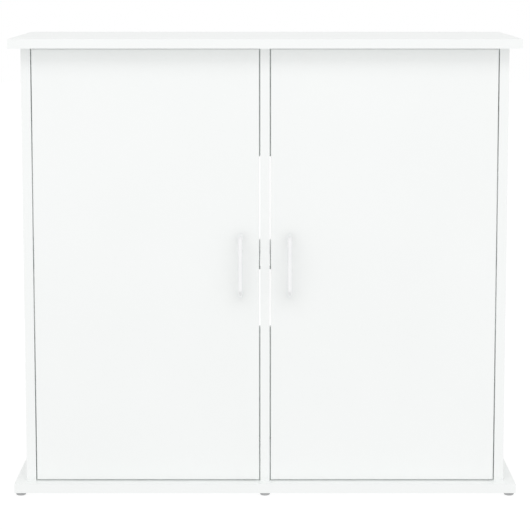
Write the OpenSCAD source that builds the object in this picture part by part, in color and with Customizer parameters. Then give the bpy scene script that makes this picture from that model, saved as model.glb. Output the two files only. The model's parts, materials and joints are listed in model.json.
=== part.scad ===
// Aquarium stand cabinet: white board carcass with two compartments behind inset doors.
// Frame: +X right, -Y front, +Z up, origin on the floor under the middle of the top board.

/* [Cabinet] */
// Overall width, across the top board
cabinet_width = 810; // [600:10:1200]
// Overall depth, across the top board
cabinet_depth = 360; // [320:5:500]
// Overall height, from the floor to the top face
cabinet_height = 735; // [600:5:900]
// Thickness of every board
board = 15; // [15:0.5:16]
// How far the top and base boards stand out past each side panel
side_overhang = 18; // [10:1:40]
// How far the top and base boards stand out in front of the doors
front_overhang = 25; // [25:1:40]
// Height of each of the two back rails
rail_height = 200; // [150:5:240]

/* [Doors] */
// Gap between a door and the upright board beside it
side_gap = 2; // [2:0.25:4]
// Gap above and below a door
end_gap = 1.75; // [1:0.25:5]
// How far a door is drawn open
door_angle = 0; // [0:1:95]
// Distance from a door's end to the middle of its hinge
hinge_inset = 90; // [70:5:140]

/* [Handles] */
// Diameter of the handle rod
handle_rod = 9; // [8:0.5:10]
// Distance between the two handle screws
handle_spacing = 96; // [64:32:160]
// How far the handle stands out from the door
handle_reach = 25; // [22:0.5:25]
// Distance of the handle's middle from the door's free edge
handle_inset = 30; // [20:1:50]
// Height of the handle's middle above the door's middle
handle_rise = 4; // [-20:1:20]

/* [Shelves] */
// How far a shelf's front edge stands behind the doors' back face, clear of their swing
shelf_setback = 14; // [14:1:40]
// Gap between a shelf's rear edge and the back rails, for hoses and cables
shelf_rear_gap = 21; // [10:1:60]
// Play between a shelf and the board at each end
shelf_play = 0.75; // [0.5:0.25:2]

/* [Feet] */
// Height of a foot
foot_height = 5; // [4:0.5:10]
// Diameter of a foot
foot_diameter = 16; // [14:1:20]

/* [Hidden] */
$fn = 48;
eps = 0.01;
left = -1;
right = 1;

white_board = "#f2f3f5";
plated = "#c9ccd1";
grey_plastic = "#a9acb0";
beech = "#d9b98a";

// Where the boards lie
carcass_bottom = foot_height + board;
carcass_top = cabinet_height - board;
carcass_height = carcass_top - carcass_bottom;
outer_half = cabinet_width / 2 - side_overhang;
inner_half = outer_half - board;
front_edge = -cabinet_depth / 2;
face = front_edge + front_overhang;
back = cabinet_depth / 2;
rail_front = back - board;

// Doors
door_width = inner_half - board / 2 - 2 * side_gap;
door_height = carcass_height - 2 * end_gap;
door_bottom = carcass_bottom + end_gap;
door_middle = door_bottom + door_height / 2;
door_centre = (inner_half + board / 2) / 2;
hinge_low = door_bottom + hinge_inset;
hinge_high = door_bottom + door_height - hinge_inset;

// Handles
handle_x = board / 2 + side_gap + handle_inset;
handle_z = door_middle + handle_rise;
handle_bend = 10;
handle_thread = 4;
handle_hole_depth = 8;
handle_head = 8;
handle_head_height = 2.4;

// Cross recess of a screw or cam head
recess_share = 0.55;
recess_slot = 1;
recess_depth = 1;

// Shelves and their pins
shelf_width = inner_half - board / 2 - 2 * shelf_play;
shelf_front = face + board + shelf_setback;
shelf_depth = rail_front - shelf_rear_gap - shelf_front;
shelf_top = door_middle + board / 2;
pin_diameter = 5;
pin_bore = 5.1;
pin_in_board = 7;
pin_length = 14.5;
pin_z = shelf_top - board - pin_diameter / 2;
pin_inset = 40;
pin_rows = [shelf_front + pin_inset, shelf_front + shelf_depth - pin_inset];
pin_pitch = 32;
pin_steps = [-2, -1, 0, 1, 2];

// Concealed hinge, in its own plan frame: X away from the side panel's inner face,
// Y back from the door's front face, Z up from the hinge's middle
cup_radius = 17.5;
cup_depth = 11.5;
cup_x = side_gap + 5 + cup_radius;
flange = 1.2;
flange_radius = 19;
ear_shift = 6;
ear_reach = 24;
ear_radius = 7;
well_half_x = 14.8;
well_half_z = 7.5;
well_floor = 0.7;
pivot = [side_gap + 19, board - 7.6];
edge_sweep = norm([pivot.x - side_gap, board - pivot.y]);
hinge_pin_diameter = 2.5;
hinge_bore = 2.6;
hinge_pin_half = 16;
knuckle_radius = 2.7;
arm_thickness = 2.5;
arm_bend_radius = 4;
arm_turn_radius = 5;
neck_half = 7;
arm_half = 8;
arm_wall = 1.2;
arm_bend = [pivot.x + 13.5, pivot.y + 8.4];
arm_cross_y = pivot.y + edge_sweep + 2.6;
arm_web_x = 13;
arm_end = 80;
plate_thickness = 2;
plate_front = 35;
plate_end = 82;
ridge_top = 10;
ridge_half = 6.3;
plate_screw_y = 52;
plate_screw_z = 16;
plate_wing = 8;
adjust_y = 42;
clamp_y = 70;
clamp_start = 5;
clamp_head = 8.5;
clamp_head_height = 3;
adjust_rise = 1;
machine_thread = 5;
clamp_clearance = 0.5;
wood_thread = 3.5;
wood_head = 7;
wood_head_height = 2;
cup_screw_length = 12;
plate_screw_length = 14;

// Flat-pack joints
cam_inset = 24;
cam_radius = 7.5;
cam_depth = 12.5;
cam_play = 0.1;
cam_sink = 0.2;
bolt_bore = 8;
bolt_shank = 5;
bolt_thread = 6;
bolt_in_face = 11;
bolt_head = 6.8;
bolt_head_length = 4;
bolt_head_play = 0.4;
dowel_diameter = 8;
dowel_length = 30;
dowel_in_face = 10;
cam_from_face = 40;
cam_from_back = 60;
dowel_from_face = 100;
dowel_from_back = 110;
cam_rows = [face + cam_from_face, back - cam_from_back];
dowel_rows = [face + dowel_from_face, back - dowel_from_back];
rail_cam_rise = rail_height * 0.65;
rail_dowel_rise = rail_height * 0.25;
divider_dowel_rises = [rail_height * 0.25, rail_height * 0.75];

// Feet
foot_inset = 10;
foot_x = [-(cabinet_width / 2 - foot_inset), 0, cabinet_width / 2 - foot_inset];
foot_y = [front_edge + foot_inset, back - foot_inset];
foot_edge = 2.5;
nail_diameter = 2;
nail_length = 12;
nail_in_foot = 2;

FEET = [for (row = ["front", "rear"]) for (col = ["left", "middle", "right"]) str(row, "_", col, "_foot")];
HINGES = ["left_upper", "left_lower", "right_upper", "right_lower"];

// ---------- helpers ----------

// A box from its lowest to its highest corner
module block(low, high) {
    translate(low) cube(high - low);
}

// A round bar along X, Y or Z from a start point
module bar_x(start, length, diameter) {
    translate(start) rotate([0, 90, 0]) cylinder(h = length, d = diameter);
}
module bar_y(start, length, diameter) {
    translate(start) rotate([-90, 0, 0]) cylinder(h = length, d = diameter);
}
module bar_z(start, length, diameter) {
    translate(start) cylinder(h = length, d = diameter);
}

// Moves a plan-frame hinge piece to its place on the left or right of the cabinet
module at_hinge(side, z) {
    translate([side * inner_half, face, z]) mirror([side == right ? 1 : 0, 0, 0]) children();
}

// Turns what belongs to a door about its hinge pins
module swing(side) {
    axis = [side * (inner_half - pivot.x), face + pivot.y, 0];
    translate(axis) rotate([0, 0, side * door_angle]) translate(-axis) children();
}

// Side of the cabinet and height of a hinge, from its name
function hinge_side(name) = name == HINGES[0] || name == HINGES[1] ? left : right;
function hinge_z(name) = name == HINGES[0] || name == HINGES[2] ? hinge_high : hinge_low;
module on_hinge(name) {
    at_hinge(hinge_side(name), hinge_z(name)) children();
}

// Points of a corner rounded to radius r, for the path a -> b -> c
function unit(v) = v / norm(v);
function corner(a, b, c, r, steps = 6) =
    let (u = unit(a - b), w = unit(c - b), half = acos(u * w) / 2, centre = b + unit(u + w) * r / sin(half))
    let (start = b + u * r / tan(half) - centre, turn = (180 - 2 * half) * sign(u.x * w.y - u.y * w.x))
    [for (i = [0:steps]) let (t = -turn * i / steps)
        centre + [start.x * cos(t) - start.y * sin(t), start.x * sin(t) + start.y * cos(t)]];

// Closed outline of a strip of even thickness along a path
function side_line(path, d) = [for (i = [0:len(path) - 1])
    let (
        before = i > 0 ? unit(path[i] - path[i - 1]) : unit(path[1] - path[0]),
        after = i < len(path) - 1 ? unit(path[i + 1] - path[i]) : before,
        along = unit(before + after),
        stretch = d / (along * before)
    )
    path[i] + [-along.y, along.x] * stretch];
function reversed(list) = [for (i = [len(list) - 1:-1:0]) list[i]];
function strip(path, t) = concat(side_line(path, t / 2), reversed(side_line(path, -t / 2)));

// ---------- flat-pack joints ----------
// A joint is [point on the edge, direction into the edge board, direction of the cam's open face]

up = [0, 0, 1];
function upright_cam_joints() = [
    for (y = cam_rows) for (end = [-1, 1]) for (s = [left, 0, right])
        [
            [s * (outer_half - board / 2), y, end > 0 ? carcass_top : carcass_bottom],
            -end * up,
            [s == 0 ? -1 : -s, 0, 0]
        ]
];
function rail_cam_joints() = [
    for (bottom = [carcass_bottom, carcass_top - rail_height]) for (s = [left, right])
        [[s * inner_half, back - board / 2, bottom + rail_cam_rise], [-s, 0, 0], [0, -1, 0]]
];
function upright_dowels() = [
    for (y = dowel_rows) for (end = [-1, 1]) for (s = [left, 0, right])
        [[s * (outer_half - board / 2), y, end > 0 ? carcass_top : carcass_bottom], -end * up]
];
function rail_dowels() = [
    for (bottom = [carcass_bottom, carcass_top - rail_height]) for (s = [left, right])
        [[s * inner_half, back - board / 2, bottom + rail_dowel_rise], [-s, 0, 0]]
];
function divider_dowels() = [
    for (bottom = [carcass_bottom, carcass_top - rail_height]) for (rise = divider_dowel_rises)
        [[0, rail_front, bottom + rise], [0, -1, 0]]
];
cam_joints = concat(upright_cam_joints(), rail_cam_joints());
dowel_joints = concat(upright_dowels(), rail_dowels(), divider_dowels());

// Points a piece built along +Z towards direction d
module towards(point, d) {
    translate(point) rotate([d.y != 0 ? -90 * d.y : d.z < 0 ? 180 : 0, d.x * 90, 0]) children();
}

// Everything drilled for the cam joints: pocket, bolt bore in the edge, threaded hole in the face
module cam_holes() {
    for (j = cam_joints) {
        towards(j[0], j[1]) cylinder(h = cam_inset, d = bolt_bore);
        towards(j[0], -j[1]) cylinder(h = bolt_in_face, d = bolt_thread);
        towards(j[0] + j[1] * cam_inset + j[2] * (board / 2 - cam_depth), j[2])
            cylinder(h = cam_depth + eps, r = cam_radius);
    }
}
module dowel_holes() {
    for (j = dowel_joints) {
        towards(j[0] - j[1] * dowel_in_face, j[1]) cylinder(h = dowel_length, d = dowel_diameter);
    }
}
module flat_pack_holes() {
    cam_holes();
    dowel_holes();
}

// ---------- boards ----------

module top_panel() {
    color(white_board) difference() {
        block([-cabinet_width / 2, front_edge, carcass_top], [cabinet_width / 2, back, cabinet_height]);
        flat_pack_holes();
    }
}

module base_panel() {
    color(white_board) difference() {
        block([-cabinet_width / 2, front_edge, foot_height], [cabinet_width / 2, back, carcass_bottom]);
        flat_pack_holes();
        nail_shanks();
    }
}

module side_panel(side) {
    color(white_board) difference() {
        block(
            [side == left ? -outer_half : inner_half, face, carcass_bottom],
            [side == left ? -inner_half : outer_half, back, carcass_top]
        );
        flat_pack_holes();
        shelf_pin_bores(side * inner_half, -side);
        for (z = [hinge_low, hinge_high]) {
            at_hinge(side, z) plate_screws_here();
        }
    }
}

module centre_divider() {
    color(white_board) difference() {
        block([-board / 2, face, carcass_bottom], [board / 2, rail_front, carcass_top]);
        flat_pack_holes();
        shelf_pin_bores(-board / 2, -1);
        shelf_pin_bores(board / 2, 1);
    }
}

module back_rail(bottom) {
    color(white_board) difference() {
        block([-inner_half, rail_front, bottom], [inner_half, back, bottom + rail_height]);
        flat_pack_holes();
    }
}

// Rows of shelf pin bores in the face at x whose open side looks towards open_side
module shelf_pin_bores(x, open_side) {
    for (y = pin_rows) {
        for (step = pin_steps) {
            bar_x([open_side > 0 ? x - pin_in_board : x - eps, y, pin_z + step * pin_pitch],
                pin_in_board + eps, pin_bore);
        }
    }
}

module shelf(side) {
    low_x = side == left ? -inner_half + shelf_play : board / 2 + shelf_play;
    color(white_board)
        block(
            [low_x, shelf_front, shelf_top - board],
            [low_x + shelf_width, shelf_front + shelf_depth, shelf_top]
        );
}

module shelf_pins(side) {
    color(plated) for (y = pin_rows) {
        outer_x = inner_half + pin_in_board - pin_length;
        divider_x = board / 2 - pin_in_board;
        bar_x([side == left ? -outer_x - pin_length : outer_x, y, pin_z], pin_length, pin_diameter);
        bar_x([side == left ? -divider_x - pin_length : divider_x, y, pin_z], pin_length, pin_diameter);
    }
}

// ---------- doors and handles ----------

module door(side) {
    color(white_board) swing(side) difference() {
        block(
            [side * door_centre - door_width / 2, face, door_bottom],
            [side * door_centre + door_width / 2, face + board, door_bottom + door_height]
        );
        for (z = [hinge_low, hinge_high]) {
            at_hinge(side, z) {
                bar_y([cup_x, board - cup_depth, 0], cup_depth + eps, 2 * cup_radius);
                cup_screws_here();
            }
        }
        for (end = [-1, 1]) {
            bar_y([side * handle_x, face - eps, handle_z + end * handle_spacing / 2],
                board + 2 * eps, handle_thread);
        }
    }
}

module handle(side) {
    leg = handle_reach - handle_rod / 2 - handle_bend;
    straight = handle_spacing - 2 * handle_bend;
    color(plated) swing(side) translate([side * handle_x, face, handle_z]) difference() {
        union() {
            bar_z([0, -leg - handle_bend, -straight / 2], straight, handle_rod);
            for (end = [-1, 1]) {
                bar_y([0, -leg, end * handle_spacing / 2], leg, handle_rod);
                translate([0, -leg, end * straight / 2]) rotate([0, -90, 0])
                    rotate([0, 0, end > 0 ? -90 : 180]) rotate_extrude(angle = 90)
                        translate([handle_bend, 0]) circle(d = handle_rod);
            }
        }
        for (end = [-1, 1]) {
            bar_y([0, -handle_hole_depth, end * handle_spacing / 2],
                handle_hole_depth + eps, handle_thread);
        }
    }
}

module handle_screws(side) {
    color(plated) swing(side) for (end = [-1, 1]) {
        z = handle_z + end * handle_spacing / 2;
        difference() {
            union() {
                bar_y([side * handle_x, face - handle_hole_depth, z],
                    handle_hole_depth + board, handle_thread);
                bar_y([side * handle_x, face + board, z], handle_head_height, handle_head);
            }
            translate([side * handle_x, face + board + handle_head_height, z]) rotate([-90, 0, 0])
                cross_recess(handle_head);
        }
    }
}

// Cross recess cut down into a head of the given diameter whose face is at the origin
module cross_recess(head) {
    span = recess_share * head;
    for (turn = [0, 90]) {
        rotate([0, 0, turn]) translate([-span / 2, -recess_slot / 2, -recess_depth])
            cube([span, recess_slot, recess_depth + eps]);
    }
}

// ---------- concealed hinges, in the plan frame ----------

module hinge_cup() {
    color(plated) difference() {
        union() {
            bar_y([cup_x, board - cup_depth, 0], cup_depth, 2 * cup_radius);
            translate([0, board + flange, 0]) rotate([90, 0, 0]) linear_extrude(flange) {
                translate([cup_x, 0]) circle(r = flange_radius);
                translate([cup_x + ear_shift - ear_radius, -ear_reach])
                    square([2 * ear_radius, 2 * ear_reach]);
                for (end = [-1, 1]) {
                    translate([cup_x + ear_shift, end * ear_reach]) circle(r = ear_radius);
                }
            }
        }
        block(
            [cup_x - well_half_x, board - cup_depth + well_floor, -well_half_z],
            [cup_x + well_half_x, board + flange + 1, well_half_z]
        );
        bar_z([pivot.x, pivot.y, -hinge_pin_half], 2 * hinge_pin_half, hinge_pin_diameter);
        cup_screws_here();
    }
}

module hinge_arm() {
    crossing = [arm_bend.x, arm_cross_y];
    root = [arm_web_x, arm_cross_y];
    tail = [arm_web_x, arm_end];
    path = concat(
        [pivot],
        corner(pivot, arm_bend, crossing, arm_bend_radius),
        corner(arm_bend, crossing, root, arm_turn_radius),
        corner(crossing, root, tail, arm_turn_radius),
        [tail]
    );
    web_inner = arm_web_x - arm_thickness / 2;
    color(plated) difference() {
        union() {
            translate([0, 0, -neck_half]) linear_extrude(2 * neck_half) {
                polygon(strip(path, arm_thickness));
                translate(pivot) circle(r = knuckle_radius);
            }
            block([web_inner, plate_front + 1, -arm_half], [web_inner + arm_thickness, arm_end, arm_half]);
            for (end = [-1, 1]) {
                wall_z = end > 0 ? arm_half - arm_wall : -arm_half;
                block([plate_thickness + 1, plate_front + 1, wall_z],
                    [web_inner + eps, arm_end, wall_z + arm_wall]);
            }
        }
        bar_z([pivot.x, pivot.y, -neck_half - 1], 2 * neck_half + 2, hinge_bore);
        bar_x([web_inner - 1, adjust_y, 0], arm_thickness + 2, machine_thread);
        bar_x([web_inner - 1, clamp_y, 0], arm_thickness + 2, machine_thread + clamp_clearance);
    }
}

module mounting_plate() {
    color(plated) difference() {
        union() {
            rotate([0, 90, 0]) linear_extrude(plate_thickness) {
                translate([-arm_half, plate_front]) square([2 * arm_half, plate_end - plate_front]);
                for (end = [-1, 1]) {
                    translate([end * plate_screw_z, plate_screw_y]) circle(r = plate_wing);
                }
                translate([-plate_screw_z, plate_screw_y - plate_wing])
                    square([2 * plate_screw_z, 2 * plate_wing]);
            }
            block([plate_thickness - eps, plate_front + 2, -ridge_half],
                [ridge_top, plate_end, ridge_half]);
        }
        bar_x([clamp_start - 1, clamp_y, 0], ridge_top, machine_thread);
        plate_screws_here();
    }
}

// A countersunk wood screw pointing along -Z with its flat head at the origin
module wood_screw(length) {
    translate([0, 0, -length]) cylinder(h = length - wood_head_height, d = wood_thread);
    translate([0, 0, -wood_head_height])
        cylinder(h = wood_head_height, d1 = wood_thread, d2 = wood_head);
}

module cup_screws_here() {
    for (end = [-1, 1]) {
        translate([cup_x + ear_shift, board + flange, end * ear_reach]) rotate([-90, 0, 0])
            wood_screw(cup_screw_length);
    }
}

module plate_screws_here() {
    for (end = [-1, 1]) {
        translate([plate_thickness, plate_screw_y, end * plate_screw_z]) rotate([0, 90, 0])
            wood_screw(plate_screw_length);
    }
}

module cup_screws(side) {
    color(plated) swing(side) for (z = [hinge_low, hinge_high]) {
        at_hinge(side, z) difference() {
            cup_screws_here();
            for (end = [-1, 1]) {
                translate([cup_x + ear_shift, board + flange, end * ear_reach]) rotate([-90, 0, 0])
                    cross_recess(wood_head);
            }
        }
    }
}

module plate_screws(side) {
    color(plated) for (z = [hinge_low, hinge_high]) {
        at_hinge(side, z) difference() {
            plate_screws_here();
            for (end = [-1, 1]) {
                translate([plate_thickness, plate_screw_y, end * plate_screw_z]) rotate([0, 90, 0])
                    cross_recess(wood_head);
            }
        }
    }
}

// The clamping screw holds the arm to the plate's ridge, the adjusting screw bears on the ridge
module arm_screws(side) {
    web_outer = arm_web_x + arm_thickness / 2;
    clamp_face = web_outer + clamp_head_height;
    adjust_face = web_outer + adjust_rise;
    color(plated) for (z = [hinge_low, hinge_high]) {
        at_hinge(side, z) difference() {
            union() {
                bar_x([clamp_start, clamp_y, 0], web_outer - clamp_start, machine_thread);
                bar_x([web_outer, clamp_y, 0], clamp_head_height, clamp_head);
                bar_x([ridge_top, adjust_y, 0], adjust_face - ridge_top, machine_thread);
            }
            translate([clamp_face, clamp_y, 0]) rotate([0, 90, 0]) cross_recess(clamp_head);
            translate([adjust_face, adjust_y, 0]) rotate([0, 90, 0]) cross_recess(machine_thread);
        }
    }
}

module hinge_pins(side) {
    color(plated) swing(side) for (z = [hinge_low, hinge_high]) {
        at_hinge(side, z)
            bar_z([pivot.x, pivot.y, -hinge_pin_half], 2 * hinge_pin_half, hinge_pin_diameter);
    }
}

// ---------- feet and joint hardware ----------

module foot(x, y) {
    color(grey_plastic) translate([x, y, 0]) difference() {
        rotate_extrude() {
            square([foot_diameter / 2 - foot_edge, foot_height]);
            translate([0, foot_edge]) square([foot_diameter / 2, foot_height - foot_edge]);
            intersection() {
                translate([foot_diameter / 2 - foot_edge, foot_edge]) circle(r = foot_edge);
                square([foot_diameter, foot_height]);
            }
        }
        translate([0, 0, foot_height - nail_in_foot]) cylinder(h = nail_in_foot + eps, d = nail_diameter);
    }
}

module nail_shanks() {
    for (x = foot_x) {
        for (y = foot_y) {
            bar_z([x, y, foot_height - nail_in_foot], nail_length, nail_diameter);
        }
    }
}

module foot_nails() {
    color(plated) nail_shanks();
}

// A cam body with the bolt's bore in its side and a cross recess in its face
module cam_locks() {
    color(plated) for (j = cam_joints) {
        centre = j[0] + j[1] * cam_inset;
        difference() {
            towards(centre + j[2] * (board / 2 - cam_depth), j[2])
                cylinder(h = cam_depth - cam_sink, r = cam_radius - cam_play);
            towards(centre + j[1] * bolt_head_length, -j[1])
                cylinder(h = cam_inset, d = bolt_head + bolt_head_play);
            towards(centre + j[2] * (board / 2 - cam_sink), j[2]) cross_recess(2 * cam_radius);
        }
    }
}

module cam_bolts() {
    shank = cam_inset - bolt_head_length / 2;
    color(plated) for (j = cam_joints) {
        towards(j[0] - j[1] * bolt_in_face, j[1]) cylinder(h = bolt_in_face, d = bolt_thread);
        towards(j[0], j[1]) {
            cylinder(h = shank, d = bolt_shank);
            translate([0, 0, shank]) cylinder(h = bolt_head_length, d = bolt_head);
        }
    }
}

module dowels() {
    color(beech) for (j = dowel_joints) {
        towards(j[0] - j[1] * dowel_in_face, j[1]) cylinder(h = dowel_length, d = dowel_diameter);
    }
}

// ---------- nodes ----------

top_panel();
base_panel();
side_panel(left);  // left_side_panel
side_panel(right);  // right_side_panel
centre_divider();
back_rail(carcass_top - rail_height);  // upper_back_rail
back_rail(carcass_bottom);  // lower_back_rail
shelf(left);  // left_shelf
shelf(right);  // right_shelf
shelf_pins(left);  // left_shelf_pins
shelf_pins(right);  // right_shelf_pins
door(left);  // left_door
door(right);  // right_door
handle(left);  // left_handle
handle(right);  // right_handle
handle_screws(left);  // left_handle_screws
handle_screws(right);  // right_handle_screws
for (h = HINGES) {
    swing(hinge_side(h)) on_hinge(h) hinge_cup();
    on_hinge(h) hinge_arm();
    on_hinge(h) mounting_plate();
}
hinge_pins(left);  // left_hinge_pins
hinge_pins(right);  // right_hinge_pins
cup_screws(left);  // left_cup_screws
cup_screws(right);  // right_cup_screws
plate_screws(left);  // left_plate_screws
plate_screws(right);  // right_plate_screws
arm_screws(left);  // left_arm_screws
arm_screws(right);  // right_arm_screws
for (row = [0, 1]) {
    for (col = [0, 1, 2]) {
        foot(foot_x[col], foot_y[row]);
    }
}
foot_nails();
cam_locks();
cam_bolts();
dowels();
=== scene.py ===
import json
import math

import bpy
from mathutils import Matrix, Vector


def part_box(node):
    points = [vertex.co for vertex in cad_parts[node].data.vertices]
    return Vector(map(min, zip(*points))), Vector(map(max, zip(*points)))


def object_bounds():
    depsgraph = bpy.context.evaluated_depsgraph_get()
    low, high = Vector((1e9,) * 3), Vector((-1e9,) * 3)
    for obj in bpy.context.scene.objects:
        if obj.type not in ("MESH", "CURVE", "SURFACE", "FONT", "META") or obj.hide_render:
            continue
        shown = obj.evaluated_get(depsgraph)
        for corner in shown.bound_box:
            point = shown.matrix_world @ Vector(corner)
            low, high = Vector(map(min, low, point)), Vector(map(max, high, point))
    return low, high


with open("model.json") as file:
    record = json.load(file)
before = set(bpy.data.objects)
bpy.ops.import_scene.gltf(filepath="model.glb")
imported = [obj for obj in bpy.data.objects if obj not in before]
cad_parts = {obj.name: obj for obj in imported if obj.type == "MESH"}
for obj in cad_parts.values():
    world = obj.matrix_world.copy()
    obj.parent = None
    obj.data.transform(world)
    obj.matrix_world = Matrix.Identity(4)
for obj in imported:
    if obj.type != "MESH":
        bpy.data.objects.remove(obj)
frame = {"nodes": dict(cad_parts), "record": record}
cad_low, cad_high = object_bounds()
MM = 0.001

# Camera: lens and sensor in millimetres, distance ahead of the top board's front edge and height
# above its top face in metres, and how many degrees it tips down
LENS = 148.6
SENSOR = 36.0
CAMERA_AHEAD = 3.45
CAMERA_ABOVE = 0.1208
CAMERA_TIP = 7.90

# Room: brightness in front, behind and below, and the parts of a direction's Y and Z over which one
# changes into the next
FRONT_ROOM = 1.00
REAR_ROOM = 0.83
FLOOR_LIGHT = 0.81
WALL_FADE = (-1.0, 0.3)
FLOOR_FADE = (-0.6, -0.12)
DIFFUSE_BOUNCES = 12

# Soft boxes: width and height in metres, power in watts, angle of the light above the front horizon
# in degrees, and distance from what it is aimed at in metres
FRONT_BOX = {"size": (5.0, 1.3), "watts": 20.0, "rise": 49.0, "distance": 3.0}
REAR_BOX = {"size": (2.0, 0.68), "watts": 4.0, "rise": 180.0, "distance": 1.6}

# Floor: half its width in metres, its grey and roughness, and the glow that brings it up to white
FLOOR_HALF = 12.0
FLOOR_GREY = 0.2
FLOOR_ROUGHNESS = 0.9
FLOOR_GLOW = 0.85

# Boards: thickness of the edge bands, half the width of the line where they meet the face, and how
# far inside the board's outer faces a surface must lie to be the wall of a drilled hole
EDGE_BAND = 1.0 * MM
SEAM_HALF = 0.15 * MM
HOLE_DEPTH = 0.45 * MM
# How strongly the seam shows, its colour, and how high the melamine's pearl stands beside its depth
SEAM_STRENGTH = 0.35
SEAM_COLOUR = (0.62, 0.62, 0.60)
PEARL_HEIGHT = 0.5
BOARD_ROUGHNESS = (0.34, 0.46)
CHIP_ROUGHNESS = 0.9
# Colour ramps: places from 0 to 1 with the colours there
BOARD_WHITES = [(0.3, (0.914, 0.931, 0.923)), (0.7, (0.927, 0.943, 0.936))]
CHIP_BROWNS = [(0.35, (0.30, 0.19, 0.10)), (0.5, (0.52, 0.37, 0.22)), (0.68, (0.68, 0.54, 0.36))]
BEECH_BROWNS = [(0.35, (0.50, 0.33, 0.18)), (0.6, (0.74, 0.57, 0.38))]

# Metal and plastic: where on the mottling the dark and the light colour stand, and the shares of the
# drawn grain and of the mottling in a metal's roughness
DARK_AT = 0.3
LIGHT_AT = 0.7
GRAIN_SHARE = 0.6
MOTTLE_SHARE = 0.4
EVEN = (1.0, 1.0, 1.0)
DRAWN_UPRIGHT = (1.0, 1.0, 0.02)

# Edge rounding: width on the boards and on each slot of hardware, smallest angle that counts as an
# edge in degrees, and the distance under which neighbouring vertices are one
BOARD_EDGE = 0.7 * MM
SLOT_EDGE = {"hinge_metal": 0.3 * MM, "fastener_steel": 0.15 * MM}
EDGE_SEGMENTS = 3
EDGE_ANGLE = 40
WELD_DISTANCE = 0.002 * MM

BOARDS = [
    "top_panel", "base_panel", "left_side_panel", "right_side_panel", "centre_divider",
    "upper_back_rail", "lower_back_rail", "left_shelf", "right_shelf", "left_door", "right_door",
]


# ---------------------------------------------------------------- camera, light and stage

def make_camera():
    """A long lens a little above the top board, tipped down to centre the cabinet."""
    data = bpy.data.cameras.new("camera")
    data.lens = LENS
    data.sensor_width = SENSOR
    camera = bpy.data.objects.new("camera", data)
    bpy.context.scene.collection.objects.link(camera)
    camera.location = (0.0, cad_low.y - CAMERA_AHEAD, cad_high.z + CAMERA_ABOVE)
    camera.rotation_euler = (math.radians(90.0 - CAMERA_TIP), 0.0, 0.0)
    bpy.context.scene.camera = camera


def soft_box(name, target, size, watts, rise, distance):
    """A rectangular light facing its target. Past 90 degrees of rise it stands behind the target."""
    data = bpy.data.lights.new(name, "AREA")
    data.shape = "RECTANGLE"
    data.size, data.size_y = size
    data.energy = watts
    light = bpy.data.objects.new(name, data)
    bpy.context.scene.collection.objects.link(light)
    back = Vector((0.0, -math.cos(math.radians(rise)), math.sin(math.radians(rise))))
    light.location = target + back * distance
    light.rotation_euler = back.to_track_quat("Z", "Y").to_euler()
    light.visible_camera = False
    light.visible_glossy = False


def make_room():
    """A white room, brighter in front of the cabinet than behind it, whose lower part is the floor's
    bounce. The camera itself sees plain white."""
    world = bpy.data.worlds.new("studio")
    world.use_nodes = True
    tree = world.node_tree
    split = add(tree, "ShaderNodeSeparateXYZ")
    tree.links.new(add(tree, "ShaderNodeTexCoord").outputs["Generated"], split.inputs[0])
    walls = between(tree, split.outputs["Y"], WALL_FADE, (FRONT_ROOM, REAR_ROOM))
    above = between(tree, split.outputs["Z"], FLOOR_FADE, (0.0, 1.0))
    glow = add(tree, "ShaderNodeMix")
    glow.inputs["A"].default_value = FLOOR_LIGHT
    tree.links.new(above, glow.inputs["Factor"])
    tree.links.new(walls, glow.inputs["B"])
    room = tree.nodes["Background"]
    room.inputs["Color"].default_value = (1.0, 1.0, 1.0, 1.0)
    tree.links.new(glow.outputs["Result"], room.inputs["Strength"])
    backdrop = add(tree, "ShaderNodeBackground")
    backdrop.inputs["Color"].default_value = (1.0, 1.0, 1.0, 1.0)
    pick = add(tree, "ShaderNodeMixShader")
    tree.links.new(add(tree, "ShaderNodeLightPath").outputs["Is Camera Ray"], pick.inputs["Fac"])
    tree.links.new(room.outputs[0], pick.inputs[1])
    tree.links.new(backdrop.outputs[0], pick.inputs[2])
    tree.links.new(pick.outputs[0], tree.nodes["World Output"].inputs["Surface"])
    bpy.context.scene.world = world


def make_light():
    """The room, a soft box high in front of the cabinet and one behind it."""
    scene = bpy.context.scene
    scene.view_settings.view_transform = "Standard"
    scene.view_settings.look = "None"
    scene.cycles.diffuse_bounces = DIFFUSE_BOUNCES
    make_room()
    soft_box("front_soft_box", Vector((0.0, cad_low.y, cad_high.z)), **FRONT_BOX)
    soft_box("rear_soft_box", (cad_low + cad_high) / 2, **REAR_BOX)


def make_stage():
    """A plain white floor. It only shows to the camera: the room's lower part stands for its bounce."""
    mesh = bpy.data.meshes.new("floor")
    corners = [(x * FLOOR_HALF, y * FLOOR_HALF, 0.0) for x, y in ((-1, -1), (1, -1), (1, 1), (-1, 1))]
    mesh.from_pydata(corners, [], [(0, 1, 2, 3)])
    floor = bpy.data.objects.new("floor", mesh)
    bpy.context.scene.collection.objects.link(floor)
    material, _, shader = new_material("floor_white")
    shader.inputs["Base Color"].default_value = (FLOOR_GREY, FLOOR_GREY, FLOOR_GREY, 1.0)
    shader.inputs["Roughness"].default_value = FLOOR_ROUGHNESS
    shader.inputs["Specular IOR Level"].default_value = 0.0
    shader.inputs["Emission Color"].default_value = (1.0, 1.0, 1.0, 1.0)
    shader.inputs["Emission Strength"].default_value = FLOOR_GLOW
    mesh.materials.append(material)
    floor.visible_diffuse = False
    floor.visible_glossy = False
    floor.visible_shadow = False


# ---------------------------------------------------------------- shader helpers

def new_material(name):
    """A new material, with its node tree and its shader."""
    material = bpy.data.materials.new(name)
    material.use_nodes = True
    tree = material.node_tree
    return material, tree, tree.nodes["Principled BSDF"]


def add(tree, kind, **settings):
    """A new node with its settings."""
    node = tree.nodes.new(kind)
    for key, value in settings.items():
        setattr(node, key, value)
    return node


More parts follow.
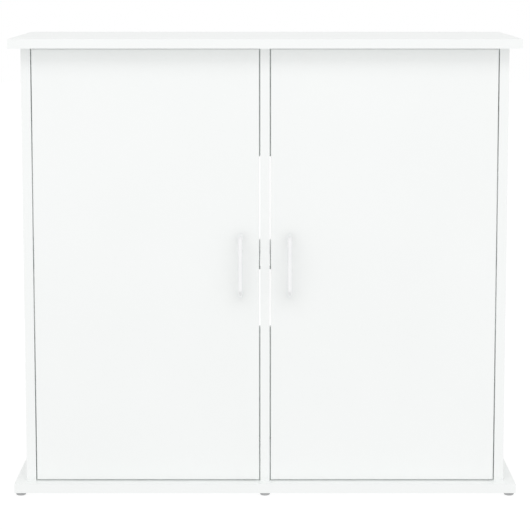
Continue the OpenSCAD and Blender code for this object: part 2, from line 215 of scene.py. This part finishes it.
def math_node(tree, operation, *values):
    """One sum or comparison, on numbers and sockets."""
    node = add(tree, "ShaderNodeMath", operation=operation)
    for socket, value in zip(node.inputs, values):
        if isinstance(value, (int, float)):
            socket.default_value = value
        else:
            tree.links.new(value, socket)
    return node.outputs[0]


def object_position(tree):
    """Place on the object in metres, so that a texture keeps its scale and moves with the piece."""
    return add(tree, "ShaderNodeTexCoord").outputs["Object"]


def noise(tree, vector, scale, detail=2.0, roughness=0.5):
    node = add(tree, "ShaderNodeTexNoise")
    node.inputs["Scale"].default_value = scale
    node.inputs["Detail"].default_value = detail
    node.inputs["Roughness"].default_value = roughness
    tree.links.new(vector, node.inputs["Vector"])
    return node.outputs["Fac"]


def stretched(tree, vector, scale):
    """The same place with each axis scaled. Under 1, a texture is drawn out along that axis."""
    node = add(tree, "ShaderNodeMapping")
    node.inputs["Scale"].default_value = scale
    tree.links.new(vector, node.inputs["Vector"])
    return node.outputs["Vector"]


def ramp(tree, value, stops):
    """A colour ramp through the stops, each a place from 0 to 1 and a colour."""
    node = add(tree, "ShaderNodeValToRGB")
    elements = node.color_ramp.elements
    while len(elements) < len(stops):
        elements.new(1.0)
    for element, (place, colour) in zip(elements, stops):
        element.position = place
        element.color = (*colour, 1.0)
    tree.links.new(value, node.inputs["Fac"])
    return node.outputs["Color"]


def between(tree, value, source, result):
    """Maps the source range, low and high, to the result range and holds it outside."""
    node = add(tree, "ShaderNodeMapRange")
    for socket, limit in zip(node.inputs[1:5], (*source, *result)):
        socket.default_value = limit
    tree.links.new(value, node.inputs["Value"])
    return node.outputs["Result"]


def mix_colour(tree, factor, a, b):
    """Blends from a, a socket, to b, a socket or a colour."""
    node = add(tree, "ShaderNodeMix", data_type="RGBA")
    first, second = [socket for socket in node.inputs if socket.type == "RGBA"]
    tree.links.new(factor, node.inputs["Factor"])
    tree.links.new(a, first)
    if isinstance(b, tuple):
        second.default_value = (*b, 1.0)
    else:
        tree.links.new(b, second)
    return next(socket for socket in node.outputs if socket.type == "RGBA")


def bump(tree, shader, height, strength, distance):
    node = add(tree, "ShaderNodeBump")
    node.inputs["Strength"].default_value = strength
    node.inputs["Distance"].default_value = distance
    tree.links.new(height, node.inputs["Height"])
    tree.links.new(node.outputs["Normal"], shader.inputs["Normal"])


# ---------------------------------------------------------------- materials

def board_material(node):
    """White melamine with glued edge bands; drilled holes show raw chipboard."""
    low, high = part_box(node)
    centre, half = (low + high) / 2, (high - low) / 2
    thin = min(range(3), key=lambda i: half[i])
    material, tree, shader = new_material(f"{node}_melamine")
    place = object_position(tree)
    split = add(tree, "ShaderNodeSeparateXYZ")
    tree.links.new(place, split.inputs[0])
    # distance in from each pair of the board's outer faces
    inward = []
    for i in range(3):
        offset = math_node(tree, "ABSOLUTE", math_node(tree, "SUBTRACT", split.outputs[i], centre[i]))
        inward.append(math_node(tree, "SUBTRACT", half[i], offset))
    rim = math_node(tree, "MINIMUM", *(inward[i] for i in range(3) if i != thin))
    inside = math_node(tree, "MINIMUM", rim, inward[thin])
    hole = math_node(tree, "GREATER_THAN", inside, HOLE_DEPTH)
    # the hairline where the edge band meets the face
    from_seam = math_node(tree, "ABSOLUTE", math_node(tree, "SUBTRACT", rim, EDGE_BAND))
    seam = between(tree, from_seam, (0.0, SEAM_HALF), (1.0, 0.0))
    white = ramp(tree, noise(tree, place, scale=5.0, detail=3.0), BOARD_WHITES)
    white = mix_colour(tree, math_node(tree, "MULTIPLY", seam, SEAM_STRENGTH), white, SEAM_COLOUR)
    chips = stretched(tree, place, (1.0, 1.0, 1.4))
    chips = noise(tree, chips, scale=420.0, detail=4.0, roughness=0.7)
    raw = ramp(tree, chips, CHIP_BROWNS)
    tree.links.new(mix_colour(tree, hole, white, raw), shader.inputs["Base Color"])
    smear = noise(tree, stretched(tree, place, (1.0, 1.0, 0.4)), scale=9.0, detail=4.0)
    smear = between(tree, smear, (0.0, 1.0), BOARD_ROUGHNESS)
    rough = math_node(tree, "MAXIMUM", smear, math_node(tree, "MULTIPLY", hole, CHIP_ROUGHNESS))
    tree.links.new(rough, shader.inputs["Roughness"])
    pearl = noise(tree, place, scale=1500.0, detail=2.0, roughness=0.6)
    height = math_node(tree, "SUBTRACT", math_node(tree, "MULTIPLY", pearl, PEARL_HEIGHT), seam)
    bump(tree, shader, height, strength=0.12, distance=0.1 * MM)
    return material


def metal_material(name, dark, light, roughness, grain, stretch, strength):
    """Plated metal with a fine grain, drawn out where stretch is under 1."""
    material, tree, shader = new_material(name)
    shader.inputs["Metallic"].default_value = 1.0
    place = object_position(tree)
    streaks = noise(tree, stretched(tree, place, stretch), scale=grain, detail=3.0, roughness=0.6)
    cloud = noise(tree, place, scale=35.0, detail=3.0)
    tree.links.new(ramp(tree, cloud, [(DARK_AT, dark), (LIGHT_AT, light)]), shader.inputs["Base Color"])
    both = math_node(tree, "ADD", math_node(tree, "MULTIPLY", streaks, GRAIN_SHARE),
                     math_node(tree, "MULTIPLY", cloud, MOTTLE_SHARE))
    tree.links.new(between(tree, both, (0.0, 1.0), roughness), shader.inputs["Roughness"])
    bump(tree, shader, streaks, strength, distance=0.05 * MM)
    return material


def plastic_material(name, dark, light):
    """Moulded plastic with a matt, slightly mottled skin."""
    material, tree, shader = new_material(name)
    place = object_position(tree)
    cloud = noise(tree, place, scale=120.0, detail=3.0)
    tree.links.new(ramp(tree, cloud, [(DARK_AT, dark), (LIGHT_AT, light)]), shader.inputs["Base Color"])
    tree.links.new(between(tree, cloud, (0.0, 1.0), (0.5, 0.62)), shader.inputs["Roughness"])
    grain = noise(tree, place, scale=2500.0, detail=2.0, roughness=0.6)
    bump(tree, shader, grain, strength=0.2, distance=0.08 * MM)
    return material


def wood_material(name):
    """Plain beech with short darker flecks along the grain."""
    material, tree, shader = new_material(name)
    place = object_position(tree)
    flecks = stretched(tree, place, (1.0, 1.0, 0.12))
    flecks = noise(tree, flecks, scale=900.0, detail=4.0, roughness=0.65)
    tree.links.new(ramp(tree, flecks, BEECH_BROWNS), shader.inputs["Base Color"])
    tree.links.new(between(tree, flecks, (0.0, 1.0), (0.55, 0.75)), shader.inputs["Roughness"])
    bump(tree, shader, flecks, strength=0.3, distance=0.1 * MM)
    return material


# ---------------------------------------------------------------- finishing the CAD nodes

def dress(node, material):
    """Puts one material on every slot of a CAD node."""
    slots = frame["nodes"][node].data.materials
    if not slots:
        slots.append(material)
    for i in range(len(slots)):
        slots[i] = material


def soften(node, width):
    """Rounds a CAD node's sharp edges a little, as a pressed or banded edge is."""
    piece = frame["nodes"][node]
    weld = piece.modifiers.new("weld", "WELD")
    weld.merge_threshold = WELD_DISTANCE
    edge = piece.modifiers.new("soft_edges", "BEVEL")
    edge.width = width
    edge.segments = EDGE_SEGMENTS
    edge.limit_method = "ANGLE"
    edge.angle_limit = math.radians(EDGE_ANGLE)


make_camera()
make_light()
make_stage()

for node in BOARDS:
    dress(node, board_material(node))
    soften(node, BOARD_EDGE)

slot_material = {
    "hinge_metal": metal_material(
        "nickel_plate", dark=(0.70, 0.69, 0.67), light=(0.78, 0.77, 0.75),
        roughness=(0.24, 0.40), grain=300.0, stretch=EVEN, strength=0.1),
    "fastener_steel": metal_material(
        "zinc_plate", dark=(0.60, 0.61, 0.63), light=(0.70, 0.71, 0.73),
        roughness=(0.30, 0.48), grain=500.0, stretch=EVEN, strength=0.15),
    "handle_metal": metal_material(
        "satin_chrome", dark=(0.93, 0.935, 0.94), light=(0.955, 0.96, 0.965),
        roughness=(0.16, 0.26), grain=2600.0, stretch=DRAWN_UPRIGHT, strength=0.15),
    "glide_plastic": plastic_material(
        "grey_glide", dark=(0.40, 0.405, 0.41), light=(0.46, 0.465, 0.47)),
    "dowel_wood": wood_material("beech"),
}
for entry in frame["record"]["subparts"]:
    node, slot = entry["node"], entry["material_slot"]
    if slot in slot_material:
        dress(node, slot_material[slot])
    if slot in SLOT_EDGE:
        soften(node, SLOT_EDGE[slot])
